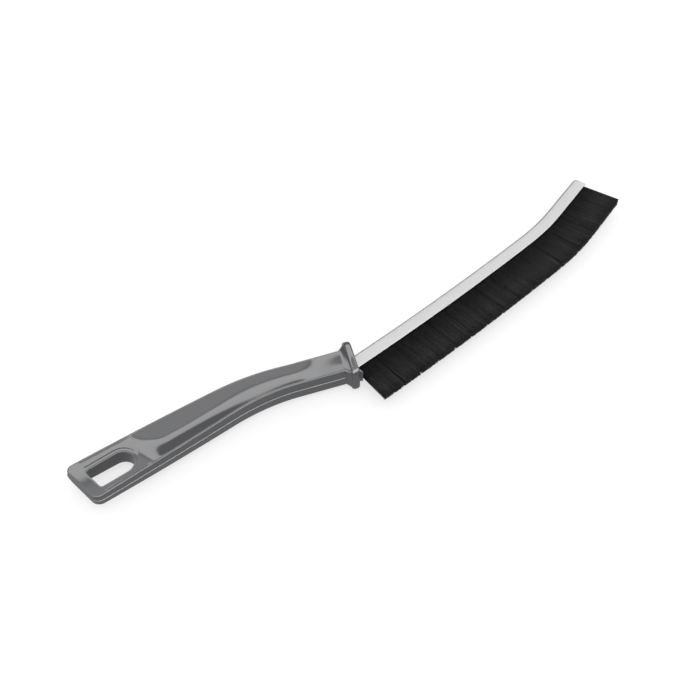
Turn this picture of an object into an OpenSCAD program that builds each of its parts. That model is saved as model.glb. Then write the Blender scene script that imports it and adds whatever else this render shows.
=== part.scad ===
// Crevice brush: a slim hand brush lying on its side.
// A moulded handle ends in a guard. A folded steel channel comes out of the guard, bows
// towards its tip and grips a row of filament bundles that are folded over a core wire.
// The long axis is X, the filaments point towards negative Y, and Z is the thin way.
// The origin lies in the middle of the flat underside of the guard.

/* [Handle] */
// Length of the grip, from its end to the corner where the neck turns off
grip_len = 75.4; // [65:0.2:95]
// Length of the neck, from that corner to the middle of the guard
neck_len = 40; // [34:0.5:60]
// Angle by which the neck dips away from the grip
neck_angle = 17; // [8:0.5:20]
// Angle by which the grip rises towards its end
grip_angle = 0.5; // [0:0.1:2]
// Radius that rounds the corner between grip and neck
bend_r = 95; // [60:5:150]
// Width of the grip at its end
grip_w = 19.6; // [17:0.2:24]
// Width of the neck
neck_w = 11.6; // [11:0.2:14]
// Thickness of the grip at its end
end_t = 5.2; // [4.8:0.1:8]
// Thickness of the neck at the guard
neck_t = 8.8; // [8:0.2:11]
// Length of neck that keeps its full narrowness
neck_even_len = 24; // [15:1:30]
// Slant of the grip's end and of the slot's end next to it
end_slant = 10; // [0:1:12]
// Radius of the two corners at the grip's end
corner_r = 3.5; // [2:0.25:4]
// Rounding along the outer edges
edge_r = 0.9; // [0.5:0.1:1.2]

/* [Scooped faces] */
// Width of the raised rim along the edges
rim_w = 1.2; // [1:0.1:1.6]
// Distance from the guard at which the scoop begins
scoop_start = 13; // [8:0.5:20]
// Length over which the scoop's beginning gets to its depth
scoop_ease = 10; // [6:0.5:20]
// Depth of the scoop in the neck
neck_scoop = 0.34; // [0.1:0.02:0.6]
// Distance from the guard at which the scoop gets deeper
grip_scoop_start = 38; // [30:1:50]
// Length over which it gets deeper
grip_scoop_run = 42; // [30:1:60]
// Depth that the grip adds to the scoop
grip_scoop = 0.95; // [0.4:0.05:1.2]
// Distance from the guard at which the scoop runs out towards the slot
scoop_out_start = 80; // [55:1:82]
// Length over which it runs out
scoop_out_run = 12; // [8:1:30]
// Height of the face's round crown at the slot
crown_h = 0.24; // [0:0.02:0.4]
// Distance from the guard at which the crown begins
crown_start = 70; // [60:1:80]
// Length over which it gets to its height
crown_run = 18; // [10:1:30]

/* [Hang slot] */
// Length of the slot
slot_len = 16.4; // [12:0.2:20]
// Width of the slot
slot_w = 9.2; // [6:0.2:10]
// Wall between the slot and the grip's end
slot_wall = 5.4; // [4:0.1:8]
// Distance of the slot's middle line from the grip's, towards the filaments
slot_drop = 1.3; // [0:0.1:1.6]
// Radius of the slot's two corners near the grip's end
slot_corner_r = 1.3; // [0.8:0.1:2]
// Width of the raised collar round the slot
collar_w = 1.5; // [1:0.1:2]
// Depth of the shallow groove between the collar and the rim
groove_depth = 0.16; // [0.08:0.02:0.3]
// Width of the groove's soft sides
groove_side = 0.6; // [0.4:0.1:1]

/* [Guard] */
// Width of the guard across the neck
guard_w = 18.4; // [15:0.1:20]
// Thickness of the whole brush at the guard
guard_t = 12.4; // [11.4:0.2:15]
// Length of the guard's plate along the neck
guard_len = 3.2; // [2.4:0.1:4]
// Rounding of the plate's rim, front and back
guard_edge = 0.9; // [0.3:0.1:1]
// Lean of the guard against the neck
guard_lean = 4.6; // [0:0.2:6]
// Radius of the guard's corners
guard_r = 3.6; // [2:0.1:4]
// Length of the flare from the neck to the plate
flare_len = 2.2; // [1:0.1:3]
// Step from the neck to the flare
flare_step = 0.3; // [0.2:0.05:0.5]
// Step from the flare to the plate's rim
flare_under = 1; // [0.8:0.1:1.4]
// Distance by which the nose reaches past the channel, towards the filaments
nose_reach = 3.8; // [1:0.1:4.4]
// Thickness of the nose at its front
nose_t = 6; // [4:0.2:8]
// Amount by which the nose widens towards the guard on each side
nose_draft = 0.6; // [0.3:0.1:1.2]

/* [Steel channel] */
// Height of the channel from its lips to its back
channel_h = 5.8; // [5.4:0.1:7]
// Thickness of the channel
channel_t = 4; // [3.8:0.1:5]
// Thickness of the steel
sheet_t = 0.5; // [0.3:0.05:0.6]
// Outer radius of the two folds along the channel's back
fold_r = 1; // [0.8:0.1:1.5]
// Height of the crimped lips
lip_h = 0.7; // [0.5:0.1:1]
// Amount by which each lip is crimped inwards
lip_in = 0.2; // [0.1:0.05:0.3]
// Distance of the channel's middle line from the guard's middle, towards the filaments
head_drop = 0.95; // [0:0.05:1.2]
// Direction of the channel where it leaves the guard
head_angle = 4; // [0:0.5:8]
// Length of the long, gently bowed stretch
bow_len = 104; // [80:1:140]
// Radius of the long stretch
bow_r = 1480; // [900:20:3000]
// Radius of the bend before the tip
hook_r = 115; // [80:5:200]
// Turn of the bend before the tip
hook_turn = 11; // [5:0.5:16]
// Length of the straight tip
tip_len = 25.5; // [15:0.5:40]
// Radius of the channel's back corner at the tip
tip_r = 1.1; // [0.6:0.1:2]
// Length of the tang inside the neck, measured from the guard's middle
tang_len = 8; // [5:0.5:9]
// Height of the tang, where the channel's sides are cut back
tang_h = 4; // [3.6:0.1:4.4]
// Length over which the sides are cut back
notch_run = 0.6; // [0.3:0.1:1]

/* [Core wire and filaments] */
// Diameter of the core wire
wire_d = 1.6; // [1.2:0.1:1.8]
// Thickness of the filaments folded over the wire
wrap_t = 0.7; // [0.5:0.05:0.8]
// Length of the free filaments beyond the channel's lips
bed_len = 17.2; // [12:0.1:25]
// Thickness of the row of filaments at its ends
bed_t = 3.4; // [2.8:0.1:4]
// Distance from the guard's middle to the first bundle
bed_start = 0.5; // [0.4:0.1:1.5]
// Distance from the last bundle to the channel's rounded tip
bed_end_gap = 0; // [0:0.1:1]
// Parting between two bundles
parting = 0.3; // [0.2:0.05:0.5]
// Filaments along a bundle
columns = 7; // [7:1:9]
// Width of one modelled filament
filament_w = 0.64; // [0.45:0.01:0.65]
// Share by which a bundle draws together towards its tips
gather = 0.03; // [0:0.01:0.06]
// Distance by which the first filaments lean towards the handle
first_lean = 0.6; // [0:0.1:1]
// Distance by which the last filaments lean outwards
last_lean = 0.5; // [0:0.1:1.5]
// Distance by which single filaments stray
stray = 0.07; // [0:0.01:0.1]

/* [Fits] */
// Clearance between the channel and the handle's socket
socket_gap = 0.05; // [0.03:0.01:0.1]
// Clearance of the filaments' fold in the channel and round the wire
fold_gap = 0.05; // [0.03:0.01:0.1]
// Clearance between the filaments and the nose
nose_gap = 0.35; // [0.3:0.05:0.6]

/* [Hidden] */
mid_z = guard_t / 2;

// The handle's centre line runs back from the guard's middle: neck, bend, grip
bend_turn = neck_angle - grip_angle;
bend_cut = bend_r * tan(bend_turn / 2);
bend_from = neck_len - bend_cut;
bend_to = bend_from + bend_r * bend_turn * PI / 180;
handle_len = bend_to + grip_len - bend_cut;
// Softness and fullness of the widening, and fullness of the thickness, from neck to grip
spread_soft = 0.04;
spread_full = 0.1;
thick_full = 2.2;
// Softness of the scoop's edge, and steps across the edge from its outside inwards
scoop_soft = 0.06;
edge_steps = [0, 0.15 * edge_r, 0.5 * edge_r, edge_r, rim_w,
    rim_w + 0.4 * groove_side, rim_w + groove_side, rim_w + 2.5 * groove_side];
// Steps of the handle's surface along the neck and along the slot
neck_step = 5;
slot_step = 1.3;
middle_columns = 9;

// The channel's centre line runs from the guard's middle towards the tip: bow, hook, tip.
// Each stretch holds its first pose (x, y, direction), its radius (0 is straight) and its ends.
hook_len = hook_r * hook_turn * PI / 180;
hook_end = bow_len + hook_len;
head_len = hook_end + tip_len;
function arc_pose(p, r, l) = let (a = p[2] + l / r * 180 / PI)
    [p.x + r * (sin(a) - sin(p[2])), p.y + r * (cos(p[2]) - cos(a)), a];
function line_pose(p, l) = [p.x + l * cos(p[2]), p.y + l * sin(p[2]), p[2]];
start_pose = [0, -head_drop, head_angle];
hook_pose = arc_pose(start_pose, bow_r, bow_len);
tip_pose = arc_pose(hook_pose, hook_r, hook_len);
function pose(s) =
    s < 0 ? line_pose(start_pose, s) :
    s < bow_len ? arc_pose(start_pose, bow_r, s) :
    s < hook_end ? arc_pose(hook_pose, hook_r, s - bow_len) :
    line_pose(tip_pose, s - hook_end);

// Heights in the channel, measured from its centre line towards its back
lip_n = -channel_h / 2;
back_n = channel_h / 2;
cavity_n = back_n - sheet_t;
wire_n = cavity_n - wrap_t - wire_d / 2;
cavity_t = channel_t - 2 * sheet_t;
mouth_t = cavity_t - 2 * lip_in;

// Bundles fill each stretch by themselves, so that none bridges two stretches. A modelled
// filament starts a little above the lips, in the fold.
bow_bundles = 11;
hook_bundles = 2;
tip_bundles = 3;
bed_end = head_len - tip_r - bed_end_gap;
bed_span = bed_end - bed_start;
rows = 3;
root_depth = 0.4;

function clamp01(x) = min(1, max(0, x));
function smooth(x) = let (k = clamp01(x)) k * k * (3 - 2 * k);
// Distance to a rectangle with round corners, negative inside it
function rounded_distance(p, half, r) =
    let (q = [abs(p.x) - half.x + r, abs(p.y) - half.y + r])
    norm([max(q.x, 0), max(q.y, 0)]) + min(max(q.x, q.y), 0) - r;

// Handle: direction and place of the centre line at the distance s behind the guard
function handle_dir(s) =
    180 - neck_angle + bend_turn * clamp01((s - bend_from) / (bend_to - bend_from));
function handle_at(s) =
    let (a = handle_dir(s), a0 = 180 - neck_angle)
    min(s, bend_from) * [cos(a0), sin(a0)]
    + bend_r * [sin(a) - sin(a0), cos(a0) - cos(a)]
    + max(0, s - bend_to) * [cos(a), sin(a)];
handle_end = handle_at(handle_len);

// Width and half thickness there, and the turn of the cross section, which follows the
// guard's lean in front and the slanted end behind
function spread(x) =
    let (g = (1 + spread_soft) * x * x / (x + spread_soft)) g + spread_full * sin(180 * g);
function handle_w(s) = neck_w + (grip_w - neck_w)
    * spread(clamp01((s - neck_even_len) / (handle_len - neck_even_len)));
function handle_half_t(s) = (neck_t + (end_t - neck_t) * pow(s / handle_len, thick_full)) / 2;
function section_turn(s) = end_slant * smooth((s - bend_to) / (handle_len - bend_to))
    - guard_lean * (1 - smooth(s / bend_from));
function plan_point(s, t) =
    let (turn = section_turn(s), a = handle_dir(s) - 90 + turn)
    handle_at(s) + t / cos(turn) * [cos(a), sin(a)];

// Distance to the hang slot's outline, whose straight end is slanted
slot_mid = slot_wall + slot_len / 2;
function slot_distance(p) =
    let (q = [p.x - handle_end.x - slot_mid, p.y - handle_end.y + slot_drop])
    q.x > 0 ? rounded_distance(q, [slot_len, slot_w] / 2, slot_w / 2)
    : rounded_distance([q.x + q.y * tan(end_slant), q.y], [slot_len, slot_w] / 2, slot_corner_r);

// Height of the face over the middle plane: round edge, crown, scoop, and groove round the
// collar
function scoop_at(s) =
    (neck_scoop * smooth((s - scoop_start) / scoop_ease)
        + grip_scoop * smooth((s - grip_scoop_start) / grip_scoop_run))
    * (1 - smooth((s - scoop_out_start) / scoop_out_run));
function bowl(x) = let (k = max(0, 1 - x * x)) (1 + scoop_soft) * k * k / (k + scoop_soft);
// The groove runs beside the slot, between these distances from the guard
groove_lead = 3 * collar_w;
groove_to = handle_len - slot_wall;
groove_from = groove_to - slot_len - groove_lead;
function face_height(s, t) =
    let (half_w = handle_w(s) / 2,
        past = max(0, s - handle_len + corner_r),
        edge = -rounded_distance([past, t], [corner_r, half_w], corner_r),
        low = max(0, edge_r - edge),
        round_off = edge_r - sqrt(max(0, edge_r * edge_r - low * low)),
        groove = groove_depth * smooth((edge - rim_w) / groove_side)
            * smooth((s - groove_from) / groove_lead) * smooth((groove_to - s) / collar_w),
        crown = crown_h * smooth((s - crown_start) / crown_run) * (1 - pow(t / half_w, 2)),
        scoop = scoop_at(s) * bowl(t / (half_w - rim_w)),
        collar = 1 - smooth((slot_distance(plan_point(s, t)) - collar_w) / groove_side))
    handle_half_t(s) + crown - round_off - (scoop + groove) * (1 - collar);

// Places across the face, closest together where the edge and the rim bend
function across(half_w) =
    let (inner = half_w - edge_steps[len(edge_steps) - 1])
    concat([for (d = edge_steps) d - half_w],
        [for (i = [1:middle_columns]) inner * (2 * i / (middle_columns + 1) - 1)],
        [for (i = [len(edge_steps) - 1:-1:0]) half_w - edge_steps[i]]);
// Amount by which the end's round corners narrow the outline on each side
function corner_cut(s) = let (a = max(0, s - handle_len + corner_r))
    corner_r - sqrt(max(0, corner_r * corner_r - a * a));
rim_zone = handle_len - edge_steps[len(edge_steps) - 1];
neck_steps = ceil(scoop_out_start / neck_step);
slot_steps = ceil((rim_zone - scoop_out_start) / slot_step);
stations = concat(
    [for (i = [0:neck_steps - 1]) scoop_out_start * i / neck_steps],
    [for (i = [0:slot_steps - 1])
        scoop_out_start + (rim_zone - scoop_out_start) * i / slot_steps],
    [for (i = [len(edge_steps) - 1:-1:0]) handle_len - edge_steps[i]]);
function face_points(s, side) =
    [for (t = across(handle_w(s) / 2 - corner_cut(s)))
        let (p = plan_point(s, t)) [p.x, p.y, side * face_height(s, t)]];

// A closed skin over rings of points: the rings run one after the other along the body,
// and each goes once round its cross section. Strips of triangles close both ends.
module skin(rings) {
    count = len(rings[0]);
    last = (len(rings) - 1) * count;
    walls = [for (k = [0:count:last - count]) for (i = [0:count - 1])
        let (a = k + i, b = k + (i + 1) % count)
        for (f = [[a, b, a + count], [b, b + count, a + count]]) f];
    ends = [for (i = [0:count / 2 - 2])
        let (a = i, b = i + 1, c = count - 2 - i, d = count - 1 - i)
        for (f = [[c, b, a], [d, c, a], [last + a, last + b, last + c],
            [last + a, last + c, last + d]]) f];
    polyhedron([for (r = rings) for (p = r) p], concat(walls, ends), convexity = 8);
}
function reversed(list) = [for (i = [len(list) - 1:-1:0]) list[i]];

module handle_body() {
    skin([for (s = stations) concat(face_points(s, -1), reversed(face_points(s, 1)))]);
}

// Sets a cross section, drawn with x towards the back and y up, along the guard's axis
module on_guard(x) {
    rotate([0, 0, -neck_angle - guard_lean]) translate([x, 0, 0]) rotate([90, 0, 90]) children();
}
// The same along the channel's first direction
module on_channel(x) {
    translate([0, -head_drop, 0]) rotate([0, 0, head_angle]) translate([x, 0, 0])
        rotate([90, 0, 90]) children();
}

// Points round a rectangle with round corners
function round_ring(w, h, r) = [for (k = [0:3]) for (i = [0:4])
    let (a = 90 * k + 22.5 * i, x = k == 0 || k == 3 ? 1 : -1, y = k < 2 ? 1 : -1)
    [x * (w / 2 - r) + r * cos(a), y * (h / 2 - r) + r * sin(a)]];

// The guard: a flare behind, and a plate whose rim is rounded front and back
module guard() {
    half = guard_len / 2;
    turn = -neck_angle - guard_lean;
    function ring(x, w, h, r) = [for (q = reversed(round_ring(w, h, r)))
        [x * cos(turn) - q.x * sin(turn), x * sin(turn) + q.x * cos(turn), q.y]];
    function plate_ring(x, inset) =
        ring(x, guard_w - 2 * inset, guard_t - 2 * inset, guard_r - inset);
    flare_r = guard_r - flare_under;
    skin(concat(
        [ring(-half - flare_len, neck_w + 2 * flare_step, neck_t + 2 * flare_step, flare_r),
            plate_ring(-half, flare_under)],
        [for (a = [30:30:90]) plate_ring(guard_edge * (1 - cos(a)) - half,
            guard_edge * (1 - sin(a)))],
        [for (a = [90:-30:0]) plate_ring(half - guard_edge * (1 - cos(a)),
            guard_edge * (1 - sin(a)))]));
}

// The nose fills the wedge between the leaning guard and the square start of the filaments
module nose() {
    thin = 0.2;
    root_low = -guard_w / 2 + guard_r;
    root_t = nose_t + 2 * nose_draft;
    front_low = lip_n - nose_reach;
    hull() {
        on_guard(0) linear_extrude(thin) translate([root_low, -root_t / 2])
            square([lip_n - root_low, root_t]);
        on_channel(bed_start - nose_gap - thin) linear_extrude(thin)
            translate([front_low, -nose_t / 2])
            square([lip_n - front_low - nose_draft / 2, nose_t]);
    }
}

// Room for the channel and its narrower tang
module socket() {
    g = socket_gap;
    on_channel(-tang_len - g) linear_extrude(tang_len + g)
        translate([back_n - tang_h - g, -channel_t / 2 - g])
        square([tang_h + 2 * g, channel_t + 2 * g]);
    on_channel(-g) linear_extrude(guard_len + guard_w / 2)
        translate([lip_n - g, -channel_t / 2 - g]) square([channel_h + 2 * g, channel_t + 2 * g]);
}

// Outline of the hang slot: a slanted straight end, and a round end towards the guard
module slot_outline() {
    half = slot_w / 2;
    arm = half - slot_corner_r;
    function back_corner(side, a0) =
        let (c = [slot_wall + slot_corner_r - side * arm * tan(end_slant), side * arm])
        [for (i = [0:6]) c + slot_corner_r * [cos(a0 + 15 * i), sin(a0 + 15 * i)]];
    polygon(concat(
        [for (i = [0:24]) [slot_wall + slot_len - half, 0]
            + half * [cos(7.5 * i - 90), sin(7.5 * i - 90)]],
        back_corner(1, 90), back_corner(-1, 180)));
}

module handle() color("dimgray") translate([0, 0, mid_z]) difference() {
    union() {
        handle_body();
        guard();
        nose();
    }
    translate([handle_end.x, handle_end.y - slot_drop, -guard_t])
        linear_extrude(2 * guard_t) slot_outline();
    socket();
}

// A cross section, given as pairs of height and z, set up at the distance s
function set_up(outline, s) = let (p = pose(s))
    [for (q = outline) [p.x - q.x * sin(p[2]), p.y + q.x * cos(p[2]), q.y]];
// Distances from one place to another in even steps, without the last
function steps(from, to, step) = let (count = ceil((to - from) / step))
    [for (i = [0:count - 1]) from + (to - from) * i / count];
// Places along the whole head that follow its bends closely
bow_step = 9;
hook_step = 2;
function head_stations(to) = concat(steps(0, bow_len, bow_step),
    steps(bow_len, hook_end, hook_step), [hook_end, to]);

// Cross section of the strip between its back and its lower edge: out over the fold from lip
// to lip, and back along the inside. Without lips, the walls' inner edges have a small bevel.
function quarter(c, r, a0) = [for (i = [0:4]) c + r * [sin(a0 + 22.5 * i), cos(a0 + 22.5 * i)]];
function fold_arc(back, r) = let (inset = channel_t / 2 - fold_r) concat(
    quarter([back - fold_r, inset], r, 0), quarter([back - fold_r, -inset], r, 90));
function strip(back, low, lips) =
    let (side = channel_t / 2, inner = cavity_t / 2,
        under = lips ? mouth_t / 2 : inner + lip_in,
        edge = lips ? [low + lip_h, mouth_t / 2] : [low + lip_in, inner],
        outside = concat([[low, under], [low, side]], fold_arc(back, fold_r),
            [[low, -side], [low, -under]]),
        inside = concat([edge, [low + lip_h, inner]], fold_arc(back, fold_r - sheet_t),
            [[low + lip_h, -inner], [edge.x, -edge.y]]))
    concat(outside, reversed(inside));

module steel_channel() color("silver") translate([0, 0, mid_z]) {
    tang = strip(back_n, back_n - tang_h, false);
    full = strip(back_n, lip_n, true);
    round_steps = [for (i = [1:4]) tip_r * [1 - cos(22.5 * i), 1 - sin(22.5 * i)]];
    skin(concat(
        [set_up(tang, -tang_len), set_up(tang, 0), set_up(full, notch_run)],
        [for (s = head_stations(head_len - tip_r)) if (s > notch_run) set_up(full, s)],
        [for (c = round_steps) set_up(strip(back_n - c.x, lip_n, true), head_len - c.y)]));
}

module core_wire() color("gainsboro") translate([0, 0, mid_z]) {
    sides = 12;
    circle_points = [for (i = [0:sides - 1])
        [wire_n, 0] + wire_d / 2 * [sin(360 * i / sides), cos(360 * i / sides)]];
    skin([for (s = concat([1 - tang_len], head_stations(bed_end))) set_up(circle_points, s)]);
}

// The filaments' fold: it fills the channel round the wire, and its legs meet the lips
module fold(s, length) {
    side = cavity_t / 2 - fold_gap;
    neck = mouth_t / 2 - fold_gap;
    low = lip_n + lip_h + fold_gap;
    top = cavity_n - fold_gap;
    cut = fold_r - sheet_t - fold_gap;
    half_out = [[lip_n, neck], [low, neck], [low + side - neck, side], [top - cut, side],
        [top, side - cut]];
    outer = concat(half_out, [for (q = reversed(half_out)) [q.x, -q.y]]);
    sides = 8;
    r = (wire_d / 2 + fold_gap) / cos(180 / sides);
    bore = [for (i = [0:sides - 1])
        [wire_n + r * sin((i + 0.5) * 360 / sides), r * cos((i + 0.5) * 360 / sides)]];
    places = concat(steps(s, s + length, fold_step(s)), [s + length]);
    difference() {
        skin([for (at = places) set_up(outer, at)]);
        skin([for (at = concat([s - 1], [for (i = [1:len(places) - 2]) places[i]],
            [s + length + 1])) set_up(bore, at)]);
    }
}
// The fold follows the bow and the tip in one straight run, and the hook in several
function fold_step(s) = s > bow_len - parting && s < hook_end - parting ? hook_step : bow_step;

// One filament: a square bar from its root in the fold to its cut end
module filament(s, root_z, tip_z, shift, extra) {
    p = pose(s);
    along = [cos(p[2]), sin(p[2]), 0];
    up = [-sin(p[2]), cos(p[2]), 0];
    half = filament_w / 2;
    ring = [[-half, half], [half, half], [half, -half], [-half, -half]];
    root = [p.x, p.y, root_z] + (lip_n + root_depth) * up;
    tip = [p.x, p.y, tip_z] + (lip_n - bed_len + extra) * up + shift * along;
    skin([for (c = [root, tip]) [for (q = ring) c + q.x * along + [0, 0, q.y]]]);
}

module bundle(s, length, seed) {
    pitch = length / (columns + 1 / rows);
    root_pitch = (mouth_t - 2 * fold_gap - filament_w) / (rows - 1);
    tip_pitch = (bed_t - filament_w) / (rows - 1);
    strays = rands(-stray, stray, 3 * rows * columns, seed);
    fold(s, length);
    for (j = [0:columns - 1]) for (k = [0:rows - 1]) {
        at = s + (j + 0.5 + (k % rows) / rows) * pitch;
        row = k - (rows - 1) / 2;
        pick = 3 * (j * rows + k);
        share = (at - bed_start) / bed_span;
        lean = last_lean * pow(share, 12) - first_lean * pow(1 - share, 12);
        filament(at, row * root_pitch, row * tip_pitch + strays[pick],
            lean - gather * (at - s - length / 2) + strays[pick + 1], 3 * strays[pick + 2]);
    }
}
// Bundles are numbered from the guard towards the tip
module filament_bundle(number) color("black") translate([0, 0, mid_z]) {
    zone = number <= bow_bundles ? [bed_start, bow_len, bow_bundles, 0] :
        number <= bow_bundles + hook_bundles ? [bow_len, hook_end, hook_bundles, bow_bundles] :
        [hook_end, bed_end + parting, tip_bundles, bow_bundles + hook_bundles];
    pitch = (zone[1] - zone[0]) / zone[2];
    bundle(zone[0] + (number - zone[3] - 1) * pitch, pitch - parting, number);
}

handle();
steel_channel();
core_wire();
filament_bundle(1);  // filament_bundle_01
filament_bundle(2);  // filament_bundle_02
filament_bundle(3);  // filament_bundle_03
filament_bundle(4);  // filament_bundle_04
filament_bundle(5);  // filament_bundle_05
filament_bundle(6);  // filament_bundle_06
filament_bundle(7);  // filament_bundle_07
filament_bundle(8);  // filament_bundle_08
filament_bundle(9);  // filament_bundle_09
filament_bundle(10);  // filament_bundle_10
filament_bundle(11);  // filament_bundle_11
filament_bundle(12);  // filament_bundle_12
filament_bundle(13);  // filament_bundle_13
filament_bundle(14);  // filament_bundle_14
filament_bundle(15);  // filament_bundle_15
filament_bundle(16);  // filament_bundle_16
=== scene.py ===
"""Looks of a crevice brush: moulded handle, folded steel channel and a dense bed of filaments.

All sizes are in millimetres, as in the part's source, and become metres when a mesh is made.
"""
import math

import bmesh
import bpy
import numpy as np
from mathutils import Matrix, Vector
from mathutils.geometry import delaunay_2d_cdt


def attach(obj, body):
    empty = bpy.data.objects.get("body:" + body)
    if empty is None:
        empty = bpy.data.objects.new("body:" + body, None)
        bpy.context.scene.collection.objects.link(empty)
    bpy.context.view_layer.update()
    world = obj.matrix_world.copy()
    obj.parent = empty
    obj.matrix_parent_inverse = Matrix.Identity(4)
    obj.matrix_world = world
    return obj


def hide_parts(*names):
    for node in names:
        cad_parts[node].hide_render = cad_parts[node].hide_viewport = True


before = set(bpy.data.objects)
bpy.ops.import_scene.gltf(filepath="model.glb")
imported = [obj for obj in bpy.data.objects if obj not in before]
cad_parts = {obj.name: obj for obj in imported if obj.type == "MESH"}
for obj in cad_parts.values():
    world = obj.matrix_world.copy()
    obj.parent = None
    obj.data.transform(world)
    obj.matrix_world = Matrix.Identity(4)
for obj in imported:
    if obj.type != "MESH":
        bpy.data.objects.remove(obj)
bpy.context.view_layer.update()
scene = bpy.context.scene
MM = 0.001

# Sizes of the handle, as in the part's source
GRIP_LEN, NECK_LEN = 75.4, 40.0
NECK_ANGLE, GRIP_ANGLE, BEND_R = 17.0, 0.5, 95.0
GRIP_W, NECK_W, END_T, NECK_T, NECK_EVEN = 19.6, 11.6, 5.2, 8.8, 24.0
SPREAD_SOFT, SPREAD_FULL, THICK_FULL, SCOOP_SOFT = 0.04, 0.1, 2.2, 0.06
END_SLANT, CORNER_R, RIM_W = 10.0, 3.5, 1.2
SCOOP_START, SCOOP_EASE, NECK_SCOOP = 13.0, 10.0, 0.34
GRIP_SCOOP_START, GRIP_SCOOP_RUN, GRIP_SCOOP = 38.0, 42.0, 0.95
SCOOP_OUT_START, SCOOP_OUT_RUN = 80.0, 12.0
CROWN_H, CROWN_START, CROWN_RUN = 0.24, 70.0, 18.0
SLOT_LEN, SLOT_W, SLOT_WALL, SLOT_DROP, SLOT_CORNER_R = 16.4, 9.2, 5.4, 1.3, 1.3
COLLAR_W, GROOVE_DEPTH, GROOVE_SIDE = 1.5, 0.16, 0.6
GUARD_W, GUARD_T, GUARD_LEN, GUARD_LEAN, GUARD_R = 18.4, 12.4, 3.2, 4.6, 3.6
FLARE_LEN, FLARE_UNDER = 2.2, 1.0
NOSE_REACH, NOSE_T, NOSE_DRAFT = 3.8, 6.0, 0.6

# Finer shapes that only the looks have: the face and the slot have rounded edges, and the
# face's stands back from the mould's parting bead. The surface rises gently towards the guard,
# most on the side of the channel's back, the flare curves into the neck, and the plate's rim is
# a pillow.
EDGE_BACK, EDGE_R, SLOT_EDGE_R = 0.4, 0.5, 0.35
BEAD_R, BEAD_OUT = 0.3, 0.1
ROOT_RISE, ROOT_RUN, ROOT_FALL = 0.16, 14.0, 1.3
ROOT_SIDE, ROOT_SIDE_RUN = -2.0, 6.0
FLARE_CURVE, FLARE_R = 1.25, 1.5
PILLOW_DEPTH, PILLOW_POWER, PILLOW_STEP = 1.15, 2.5, 0.06
NOSE_EDGE_R = 0.3

# Sizes of the channel, its wire and the filaments
CHANNEL_H, CHANNEL_T, SHEET_T, FOLD_R = 5.8, 4.0, 0.5, 1.0
LIP_H, LIP_IN, HEAD_DROP, HEAD_ANGLE = 0.7, 0.2, 0.95, 4.0
BOW_LEN, BOW_R, HOOK_R, HOOK_TURN, TIP_LEN = 104.0, 1480.0, 115.0, 11.0, 25.5
TIP_R, TANG_LEN, TANG_H, NOTCH_RUN = 1.1, 8.0, 4.0, 0.6
WIRE_D, WRAP_T = 1.6, 0.7
BED_LEN, BED_START, PARTING = 17.2, 0.5, 0.3
SOCKET_GAP, NOSE_GAP = 0.05, 0.35
BUNDLES = (11, 2, 3)

# The strands: how deep they start in the mouth, how short of the bed they end, their pitch,
# rows and radius, the bed's width at root and tip, how much they stray and differ in length,
# the gap at a bundle's ends, and how much they lean there
ROOT_IN, TIP_SHORT, STRAND_PITCH, STRAND_ROWS, STRAND_R = 0.3, 0.15, 0.21, 12, 0.115
ROOT_WIDTH, TIP_WIDTH, STRAY, UNEVEN, BUNDLE_GAP = 2.3, 3.3, 0.28, 0.12, 0.12
GATHER, FIRST_LEAN, LAST_LEAN = 0.12, -0.6, 0.5

MID_Z = GUARD_T / 2
LIP_N, BACK_N = -CHANNEL_H / 2, CHANNEL_H / 2


# --- camera, floor and light ---

def look_at(thing, target):
    """Turns a camera or a light towards a point, upright."""
    thing.rotation_euler = (Vector(target) - thing.location).to_track_quat("-Z", "Y").to_euler()


# The photo's camera as estimated: place and aim in metres, focal length in millimetres
CAMERA_AT, CAMERA_AIM, LENS = (-0.1557, -0.2103, 0.3331), (0.0044, 0.0065, 0.0062), 54.0


def make_camera():
    lens = bpy.data.cameras.new("camera")
    lens.lens = LENS
    lens.sensor_width = 36.0
    lens.clip_start = 0.01
    camera = bpy.data.objects.new("camera", lens)
    scene.collection.objects.link(camera)
    camera.location = CAMERA_AT
    look_at(camera, CAMERA_AIM)
    scene.camera = camera


def softbox(name, direction, distance, size, power):
    """An area light that the gloss doesn't mirror, as the world below gives all that it does.
    Its direction from the brush is (azimuth, elevation) in degrees."""
    az, el = (math.radians(a) for a in direction)
    lamp = bpy.data.lights.new(name, "AREA")
    lamp.shape = "RECTANGLE"
    lamp.size, lamp.size_y = size
    lamp.energy = power
    box = bpy.data.objects.new(name, lamp)
    scene.collection.objects.link(box)
    box.location = (distance * math.cos(el) * math.cos(az),
                    distance * math.cos(el) * math.sin(az), distance * math.sin(el))
    look_at(box, (0.0, 0.0, 0.0))
    box.visible_camera = False
    box.visible_glossy = False


# The studio as the gloss mirrors it: brightness over the angle round the softboxes' long
# edges, in degrees from the horizon behind the brush over the top to that in front. Two places
# close together make a box's sharp edge. The azimuth is the direction across the boxes.
MIRRORED_STUDIO = [(0, 1.2), (9, 0.3), (30, 0.25), (39.5, 0.2), (41, 0.3), (43, 3.6),
                   (54.8, 4.2), (55.5, 4.2), (56.0, 0.15), (56.9, 0.15), (57.8, 1.5), (62, 1.8),
                   (95, 1.8), (105, 7.0), (130, 7.0), (142, 0.5), (175, 0.3)]
SOFTBOX_AZIMUTH, BRIGHTEST, DAYLIGHT = 83.0, 7.0, 1.12


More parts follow.
